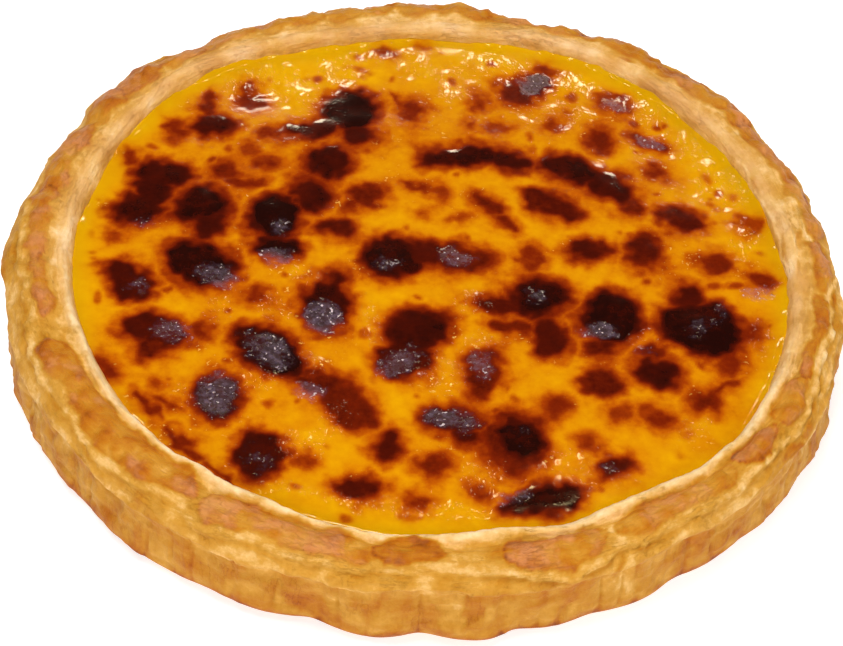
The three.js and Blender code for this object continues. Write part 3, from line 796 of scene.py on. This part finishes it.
# %% [markdown]
# Heat spreads past each blister, so the burn is graded: black skin in the middle, a narrow red-brown edge,
# and an orange glow in the yellow round it. The distance that grades it is measured on a slightly stirred
# copy of the sheet, which keeps any edge from being a true ellipse. Freckles are thrown on by a seeded
# dice.


# %% Burn the blisters in
def past_edge(blister, places):
    """Millimetres outside a blister's outline at places, negative inside."""
    x, y, long_half, short_half, turn_degrees, _ = blister
    east, north = places[:, 0] - x, places[:, 1] - y
    lean = math.radians(turn_degrees)
    along_it = east * math.cos(lean) + north * math.sin(lean)
    across_it = north * math.cos(lean) - east * math.sin(lean)
    reach = np.hypot(along_it, across_it)
    share = np.hypot(along_it / long_half, across_it / short_half) + 1e-6
    return np.where(share < 0.05, -short_half, reach * (1 - 1 / share))


film = points_of(custard)
top_side = film[:, 2] > CUSTARD_LEVEL - 1
flat_film = film * (1, 1, 0)
stir_large = np.stack((cloud(flat_film, 9.0, 11), cloud(flat_film, 9.0, 12)), axis=1)
stir_small = np.stack((cloud(flat_film, 2.6, 13), cloud(flat_film, 2.6, 14)), axis=1)
stirred = flat_film[:, :2] + 1.4 * stir_large + 1.0 * stir_small
barely_stirred = flat_film[:, :2] + 1.4 * stir_large + 0.3 * stir_small
char = np.zeros(len(film))
glow = np.zeros(len(film))
dome = np.zeros(len(film))
for blister in BLISTERS:
    past = past_edge(blister, stirred)
    burn = blister[5]
    beyond = np.clip(past, 0, None)
    core = 0.42 * (1 - ease(past, -1.8, 1.0)) + 0.58 * np.exp(-((np.clip(past + 0.8, 0, None) / 3.5) ** 2))
    char = np.maximum(char, burn * core)
    glow += burn * np.exp(-beyond / 5.0)
    # Blisters beyond the middle sank back as they cooled, so they dome less
    sunk = 0.85 * float(ease(np.array(blister[1]), 30, 42))
    size = min(1.0, blister[3] / 6.0) ** 2 * (1 - sunk)
    inward = np.clip(-past_edge(blister, barely_stirred) / blister[3], 0, 1)
    dome += (1 - dome) * ease(inward, 0, 0.95) * size * float(ease(np.array(burn), 0.3, 0.9))
for _ in range(FRECKLES):
    spin, far = dice.uniform(0, 2 * math.pi), FRECKLED_RADIUS * math.sqrt(dice.uniform())
    size = dice.uniform(0.5, 1.5)
    freckle = (far * math.cos(spin), far * math.sin(spin), size * dice.uniform(1, 1.5), size,
               dice.uniform(0, 180), dice.uniform(0.20, 0.40))
    char = np.maximum(char, freckle[5] * (1 - ease(past_edge(freckle, barely_stirred), -1.0, 1.3)))
amber = np.zeros(len(film))
for patch in AMBER:
    past = past_edge(patch, flat_film[:, :2] + 4 * stir_large)
    amber = np.maximum(amber, patch[5] * (1 - ease(past, -6, 6)))
amber *= 0.8 + 0.5 * cloud(flat_film, 5.0, 19)
puckers = np.zeros(len(film))
for patch in PUCKERED:
    puckers = np.maximum(puckers, patch[5] * (1 - ease(past_edge(patch, stirred), -3.0, 2.0)))
prickles = np.zeros(len(film))
for patch in PRICKLED:
    prickles = np.maximum(prickles, patch[5] * (1 - ease(past_edge(patch, stirred), -0.8 * patch[3], 2.2)))
heat = char + (1 - char) * (0.16 * (1 - np.exp(-glow)) + np.clip(amber, 0, 1))
print("burnt share:", round(float((heat[top_side] > 0.6).mean()), 3))

# %% [markdown]
# The skin is lifted last: a low dome over the whole sheet, a small one under each blister, dimples where it
# puckered, and a thin edge that climbs the dough. Towards the far side the dimples are drawn out sideways.
# Burnt skin is stretched tight over its blister, so the fine unevenness calms down there. The same cell
# stores where the custard's edge stayed pale.

# %% Raise the skin
CUSTARD_RADIUS = 88
from_middle = np.hypot(film[:, 0], film[:, 1])
turn = np.degrees(np.arctan2(film[:, 1], film[:, 0]))
to_edge = listed(INNER_OUTLINE, turn) - from_middle
swell_slow = cloud(flat_film, 26.0, 15)
ripple = cloud(flat_film, 7.0, 16)
wrinkle = cloud(flat_film, 3.0, 17)
warm = ease(heat, 0.18, 0.5)
dimple = cloud(flat_film * (1, 0.65, 0), 2.7, 20)
drawn = cloud(flat_film * (1, 0.3, 0), 4.4, 24)
dimple += (1.8 * drawn - 0.6 * dimple) * ease(film[:, 1], 10, 45)
rise = 0.7 * (1 - (from_middle / CUSTARD_RADIUS) ** 4) + 0.2 * swell_slow + 0.07 * ripple
calm = 1 - 0.9 * ease(heat, 0.5, 0.8)
rise += calm * (0.012 + 0.05 * warm + 0.30 * puckers) * dimple + 0.16 * dome + 0.03 * calm * warm * wrinkle
climb = 0.7 + 0.5 * wander(np.radians(turn), 18, (5, 9, 14, 23)) + 0.4 * cloud(flat_film, 4.0, 21)
climb *= 1 - 0.8 * bump_at(turned(turn, 30), 180, 30)
climb = np.clip(climb, 0.1, 2.0) * np.exp(-np.clip(to_edge, 0, None) / 0.9)
film[:, 2] += np.where(top_side, rise + climb, 0)
film[:, :2] *= np.where(top_side, 1 + 0.4 * climb / np.maximum(from_middle, 1), 1)[:, None]
put_points(custard, film)
for name, values in (("scorch", heat), ("prickles", prickles), ("puckers", puckers)):
    write_attribute(custard, name, np.where(top_side, values, 0))
olive = 1 - 0.8 * bump_at(turned(turn, 142), 180, 40) - 0.7 * bump_at(turned(turn, 40), 180, 25)
write_attribute(custard, "rim_near", np.where(top_side, olive * np.exp(-np.clip(to_edge, 0, None) / 5.0), 1))
print("custard top, mm:", round(float(film[:, 2].max()), 1))

# %% [markdown]
# ## Shader arithmetic
# A material is a small calculation for every point of the surface. This class wraps a socket so that such a
# calculation can be written as ordinary Python: adding two wires adds a Math node.


# %% A wire in a shader
class Wire:
    """A socket that takes part in arithmetic."""

    def __init__(self, tree, socket=None):
        self.tree = tree
        self.socket = socket

    def node(self, kind, settings=None, out=0, **inputs):
        """Adds any node: its settings are set first, then its inputs from numbers, colours or wires.

        An input goes by its name or, where names repeat, as i and its number.
        """
        made = self.tree.nodes.new("ShaderNode" + kind)
        for name, value in (settings or {}).items():
            if name == "stops":
                marks = made.color_ramp.elements
                marks.remove(marks[1])
                marks[0].position, marks[0].color = value[0][0], (*value[0][1], 1)
                for position, colour in value[1:]:
                    marks.new(position).color = (*colour, 1)
            else:
                setattr(made, name, value)
        for name, value in inputs.items():
            key = int(name[1:]) if name[1:].isdigit() else name
            if isinstance(value, Wire):
                self.tree.links.new(value.socket, made.inputs[key])
            else:
                made.inputs[key].default_value = value
        return Wire(self.tree, made.outputs[out])

    def maths(self, operation, *values):
        """One Math node on numbers or wires."""
        return self.node("Math", {"operation": operation}, **{f"i{n}": v for n, v in enumerate(values)})

    def __add__(self, other):
        return self.maths("ADD", self, other)

    __radd__ = __add__

    def __mul__(self, other):
        return self.maths("MULTIPLY", self, other)

    __rmul__ = __mul__

    def __sub__(self, other):
        return self.maths("SUBTRACT", self, other)

    def __rsub__(self, other):
        return self.maths("SUBTRACT", other, self)

    def between(self, low, high, start=0.0, end=1.0):
        """Eased from start at low to end at high."""
        smooth = {"interpolation_type": "SMOOTHSTEP"}
        return self.node("MapRange", smooth, i0=self, i1=low, i2=high, i3=start, i4=end)

    def mix(self, other, share):
        """This colour with a share of another, which is a wire or red, green and blue."""
        if isinstance(other, tuple):
            other = (*other, 1)
        return self.node("Mix", {"data_type": "RGBA"}, 2, i0=share, i6=self, i7=other)

    def noise(self, scale, detail, roughness):
        """Noise over the places that this wire carries."""
        return self.node("TexNoise", Vector=self, Scale=scale, Detail=detail, Roughness=roughness)

    def stored(self, name):
        """The number that the shaping steps stored on each point."""
        return self.node("Attribute", {"attribute_name": name}, 2)


def srgb(red, green, blue):
    """A colour from screen values of 0 to 255."""
    return tuple((value / 255 / 12.92) if value <= 10 else ((value / 255 + 0.055) / 1.055) ** 2.4
                 for value in (red, green, blue))


def new_finish(name):
    """An empty material, its starting wire and its surface shader."""
    finish = bpy.data.materials.new(name)
    finish.use_nodes = True
    return finish, Wire(finish.node_tree), finish.node_tree.nodes["Principled BSDF"]


def plug(wire, shader, name):
    """Joins a wire to one of the surface shader's sockets."""
    wire.tree.links.new(wire.socket, shader.inputs[name])


print("a baked yellow in linear light:", [round(value, 3) for value in srgb(236, 166, 12)])

# %% [markdown]
# ## The custard's finish
# Custard is opaque but not hard: light goes a little way in, which subsurface scattering gives. Its skin is
# set sugar and egg, as smooth as glass, so the roughness is low almost all over. The colour follows the
# burn through a ramp, and noise of three sizes breaks up every edge of it, because skin burns grain by
# grain.
#
# Three things lie on top of that. The rim that the heat hardly reached stays a duller, greener yellow. The
# darkest blisters are rougher in listed patches, and those patches carry a painted lavender sheen with a few
# painted white glints, for the light that their grainy skin reflects. Between the blisters, where the skin
# puckered or began to simmer, small golden glints are painted into the colour.

# %% Custard finish
custard_finish, wire, shader = new_finish("baked_custard")
spot = wire.node("TexCoord", out=3)
fine = spot.noise(900.0, 4.0, 0.6)
soft = spot.noise(60.0, 2.0, 0.5)
burn = wire.stored("scorch")
rim_near = wire.stored("rim_near")
middling = spot.noise(340.0, 4.0, 0.6)
ragged = burn + (fine - 0.5) * 0.14 * burn.between(0.05, 0.45) + (soft - 0.5) * 0.28 + (middling - 0.5) * 0.28
CUSTARD_STOPS = (
    (0.00, srgb(228, 164, 3)), (0.08, srgb(222, 152, 3)), (0.20, srgb(212, 130, 3)),
    (0.32, srgb(190, 92, 3)), (0.44, srgb(156, 56, 3)), (0.58, srgb(122, 32, 3)), (0.76, srgb(78, 15, 3)),
    (1.00, srgb(32, 6, 3)),
)
DULL_RIM = srgb(203, 153, 4)
PAINTED_SHEEN = srgb(150, 124, 148)
PAINTED_WHITE_GLINT = srgb(236, 214, 214)
PAINTED_GOLD_GLINT = srgb(255, 206, 92)
tone = ragged.node("ValToRGB", {"stops": CUSTARD_STOPS}, Fac=ragged)
pale_rim = rim_near.between(0.1, 0.8, 0.0, 0.6) * burn.between(0.1, 0.5, 1.0, 0.0)
tone = tone.mix(DULL_RIM, pale_rim)
prickles = wire.stored("prickles")
sandy = spot.noise(1100.0, 1.0, 0.5)
grains = sandy.between(0.54, 0.72)
patchy = (prickles + (middling - 0.5) * 1.6 + (soft - 0.5) * 1.6).between(0.15, 1.0)
patchy = patchy * prickles.between(0.0, 0.6)
# A lavender sheen is painted on the rough burnt patches, for light that their skin reflects.
tone = tone.mix(PAINTED_SHEEN, patchy * fine.between(0.42, 0.66, 0.06, 0.30))
# White glints are painted on some grains of these patches, for light that the grains reflect.
painted_white_glints = patchy * sandy.between(0.60, 0.72) * middling.between(0.44, 0.60, 0.1, 0.9)
tone = tone.mix(PAINTED_WHITE_GLINT, painted_white_glints)
puckered = wire.stored("puckers")
# Small golden glints are painted among the puckered and simmering skin.
painted_gold_glints = sandy.between(0.60, 0.70) * middling.between(0.50, 0.62) * burn.between(0.30, 0.50, 1.0, 0.0)
glint_clusters = puckered * 0.7 + soft.between(0.52, 0.60) * burn.between(0.06, 0.16, 0.0, 0.5)
tone = tone.mix(PAINTED_GOLD_GLINT, painted_gold_glints * glint_clusters)
plug(tone, shader, "Base Color")
plug(patchy.between(0.1, 0.8, 0.09, 0.30) * (1.0 - grains * 0.5), shader, "Roughness")
simmered = burn.between(0.08, 0.20) * burn.between(0.40, 0.60, 0.02, 0.0)
grainy = puckered * 0.12 + patchy * 0.45 + simmered + burn.between(0.5, 0.8, 0.0, 0.01)
relief = soft * 0.06 + grains * grainy + fine * burn.between(0.40, 0.70, 0.004, 0.008)
bump = wire.node("Bump", Strength=1.0, Distance=0.5 * MM, Height=relief)
plug(bump, shader, "Normal")
set_sockets(shader, {
    "Specular IOR Level": 0.35,
    "Subsurface Weight": 0.12,
    "Subsurface Radius": (1.0, 0.45, 0.1),
    "Subsurface Scale": 4 * MM,
})
custard.data.materials.append(custard_finish)
print("custard finish:", len(custard_finish.node_tree.nodes), "nodes")

# %% [markdown]
# ## The pastry's finish
# Baked dough runs from cream through gold to brown, and the pads shine where they were brushed with egg.
# The ramp follows the browning that the shaping step left, painted shade included, with three sizes of
# noise for the mottling. The dough has a grain as well: along the rim its leaves run round the tart, and on
# the wall faint streaks run up and down, which is why that noise is laid out by the distance from the lip
# and not by height. Thin cracks in that grain are painted a little darker, as painted shade in them. A flat
# lip is tinted a pinkish cream, and rosy patches of painted sheen lie on the egg-washed pads.

# %% Pastry finish
pastry_finish, wire, shader = new_finish("baked_pastry")
spot = wire.node("TexCoord", out=3)
fine = spot.noise(700.0, 5.0, 0.65)
soft = spot.noise(110.0, 3.0, 0.55)
# The browning, with the painted shade that the shaping step put into it.
browned = wire.stored("bake")
glaze = wire.stored("glaze")
from_lip = wire.stored("section")
across = spot.node("SeparateXYZ", Vector=spot)
up = spot.node("SeparateXYZ", out=1, Vector=spot)
long_way = wire.node("CombineXYZ", X=across * 260.0, Y=up * 260.0, Z=from_lip * 1.0)
down_way = wire.node("CombineXYZ", X=across * 700.0, Y=up * 700.0, Z=from_lip * 0.16)
leaves = long_way.noise(0.8, 5.0, 0.62)
pleats = down_way.noise(0.5, 4.0, 0.6)
streaks = leaves.mix(pleats, from_lip.between(10.0, 16.0))
middling = spot.noise(300.0, 3.0, 0.6)
# Thin cracks along the grain: pressed in by the bump, and painted darker below as painted shade in them.
shaded_cracks = streaks.maths("ABSOLUTE", streaks - 0.5).between(0.003, 0.018, 1.0, 0.0) * soft.between(0.48, 0.58)
patches = (soft - 0.5) * from_lip.between(12.0, 18.0, 0.40, 0.62)
patches = patches + (fine - 0.5) * 0.26 + (middling - 0.5) * 0.34
mottled = browned + patches * from_lip.between(-1.0, 3.0, 0.6, 1.0)
grained = from_lip.between(-1.0, 6.0, 0.26, 0.40) * from_lip.between(14.0, 19.0, 1.0, 0.5)
# The cracks' painted shade darkens the colour a little.
mottled = mottled + (streaks - 0.5) * grained + shaded_cracks * 0.07
PASTRY_STOPS = (
    (0.00, srgb(255, 222, 170)), (0.15, srgb(238, 190, 116)), (0.30, srgb(214, 156, 62)),
    (0.45, srgb(200, 138, 40)), (0.60, srgb(191, 119, 23)), (0.75, srgb(176, 94, 12)),
    (0.90, srgb(138, 64, 8)), (1.00, srgb(104, 44, 8)),
)
LIP_CREAM = srgb(230, 174, 116)
EGG_GOLD = srgb(216, 128, 14)
PAINTED_ROSY_SHEEN = srgb(232, 160, 104)
tone = mottled.node("ValToRGB", {"stops": PASTRY_STOPS}, Fac=mottled)
pallor = wire.stored("pallor")
tone = tone.mix(LIP_CREAM, pallor * soft.between(0.3, 0.6, 0.10, 0.60))
tone = tone.mix(EGG_GOLD, glaze * 0.12)
# Rosy patches of painted sheen on the egg-washed pads.
painted_rosy_sheen = glaze * soft.between(0.46, 0.58, 0.0, 0.50) * middling.between(0.40, 0.60, 0.4, 1.0)
tone = tone.mix(PAINTED_ROSY_SHEEN, painted_rosy_sheen)
plug(tone, shader, "Base Color")
plug(glaze.between(0.0, 1.0, 0.62, 0.40), shader, "Roughness")
relief = fine * 0.6 + soft * 0.6 + middling * 0.4 - shaded_cracks * 0.15
relief = relief + streaks * from_lip.between(14.0, 19.0, 1.0, 0.6)
bump = wire.node("Bump", Strength=0.85, Distance=0.8 * MM, Height=relief)
plug(bump, shader, "Normal")
set_sockets(shader, {
    "Specular IOR Level": 0.22,
    "Subsurface Weight": 0.08,
    "Subsurface Radius": (1.0, 0.5, 0.2),
    "Subsurface Scale": 3 * MM,
})
case.data.materials.append(pastry_finish)
print("pastry finish:", len(pastry_finish.node_tree.nodes), "nodes")

# %% [markdown]
# ## Hand the pieces over
# Each piece is shaded smooth, moved so that the middle of the tart's outline is the origin, and told which
# body it rides on, and the frame's plain solid that it stands for is hidden.

# %% Hand over
for piece, node_name, slot_name in (
    (case, "pastry_case", "pastry"),
    (custard, "custard_filling", "custard"),
):
    put_points(piece, points_of(piece) + SHIFT)
    piece.data.polygons.foreach_set("use_smooth", [True] * len(piece.data.polygons))
    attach(piece, "root")
    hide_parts(node_name)
    print(piece.name, "stands for", node_name)
